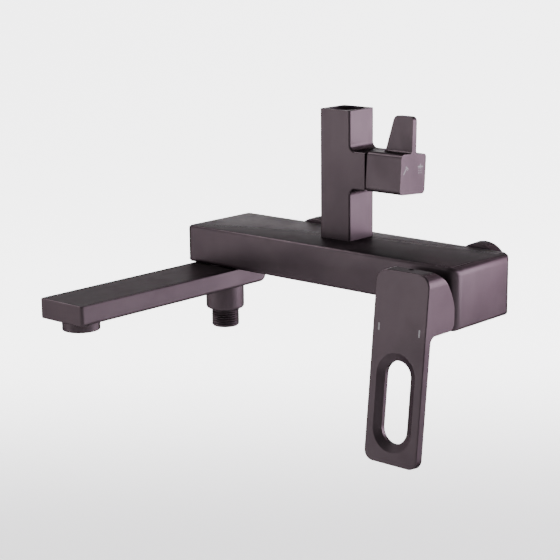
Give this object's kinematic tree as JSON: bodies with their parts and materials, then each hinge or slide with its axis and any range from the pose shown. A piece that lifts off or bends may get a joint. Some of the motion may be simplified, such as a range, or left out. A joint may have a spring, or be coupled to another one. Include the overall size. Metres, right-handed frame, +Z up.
{
  "type": "wall mounted bath faucet",
  "caption": "Wall mounted bath mixer: flat bar body, slotted lever, swivel spout with aerator, hose outlet and riser column with a diverter knob.",
  "frame": {"origin": "midway between the two inlet nuts, in the plane of their open ends", "axes": "+X to the user's right along the bar, +Y into the wall, +Z up"},
  "size_m": [0.2526, 0.2288, 0.2225],
  "materials": {
    "dark_coating": "satin dark brown coating over cast brass",
    "brass": "bare machined brass, lightly tarnished",
    "stainless": "machined stainless steel",
    "seal_rubber": "moulded black rubber",
    "cartridge_plastic": "moulded acetal, matte",
    "ceramic_disc": "lapped alumina ceramic, glossy",
    "dark_mark": "dark grey filled engraving",
    "light_mark": "light grey filled engraving"
  },
  "bodies": {
    "body": {"body_casting": "dark_coating", "filter_washers": "seal_rubber", "riser_column": "dark_coating", "column_nipple": "brass", "column_base_seal": "seal_rubber", "riser_grub_screw": "stainless", "diverter_cartridge": "cartridge_plastic", "diverter_fixed_disc": "ceramic_disc", "diverter_gland_nut": "brass", "mixing_cartridge": "cartridge_plastic", "cartridge_base_seal": "seal_rubber", "fixed_ceramic_disc": "ceramic_disc", "cartridge_nut": "brass", "cartridge_dome": "dark_coating", "hose_outlet_nipple": "dark_coating", "spout_o_rings": "seal_rubber", "spout_bearing_washer": "cartridge_plastic", "hose_outlet_valve": "cartridge_plastic", "hot_union_nut": "dark_coating", "cold_union_nut": "dark_coating", "hot_inlet_valve": "cartridge_plastic", "cold_inlet_valve": "cartridge_plastic"},
    "mixer_rotor": {"cartridge_rotor": "cartridge_plastic", "tilt_pin": "stainless"},
    "lever": {"lever_handle": "dark_coating", "lever_stem": "stainless", "lever_grub_screw": "stainless", "hot_mark": "light_mark", "cold_mark": "light_mark"},
    "disc_slider": {"disc_carrier": "cartridge_plastic", "moving_ceramic_disc": "ceramic_disc"},
    "diverter": {"diverter_knob": "dark_coating", "diverter_spindle": "stainless", "diverter_rotor": "cartridge_plastic", "knob_grub_screw": "stainless", "hand_shower_mark": "dark_mark", "overhead_shower_mark": "dark_mark"},
    "spout": {"spout_body": "dark_coating", "aerator_housing": "dark_coating", "aerator_insert": "cartridge_plastic", "aerator_gasket": "seal_rubber"}
  },
  "joints": [
    {"name": "spout_swivel", "type": "hinge", "parent": "body", "child": "spout", "pos_m": [-0.1177, -0.0661, -0.018], "axis": [0, 0, 1], "range_deg": [-60, 90]},
    {"name": "lever_temperature", "type": "hinge", "parent": "body", "child": "mixer_rotor", "pos_m": [0.0848, -0.0796, -0.0057], "axis": [0, -1, 0], "range_deg": [-45, 45]},
    {"name": "lever_lift", "type": "hinge", "parent": "mixer_rotor", "child": "lever", "pos_m": [0.0848, -0.0756, -0.0057], "axis": [-1, 0, 0], "range_deg": [0, 25]},
    {"name": "disc_slide", "type": "slide", "parent": "mixer_rotor", "child": "disc_slider", "axis": [0, 0, -1], "range_m": [0, 0.0044]},
    {"name": "diverter_turn", "type": "hinge", "parent": "body", "child": "diverter", "pos_m": [-0.0204, -0.0388, 0.0673], "axis": [1, 0, 0], "range_deg": [-86, 94]}
  ],
  "couplings": [
    {"joint": "disc_slide", "follows": "lever_lift", "m_per_rad": 0.01}
  ]
}
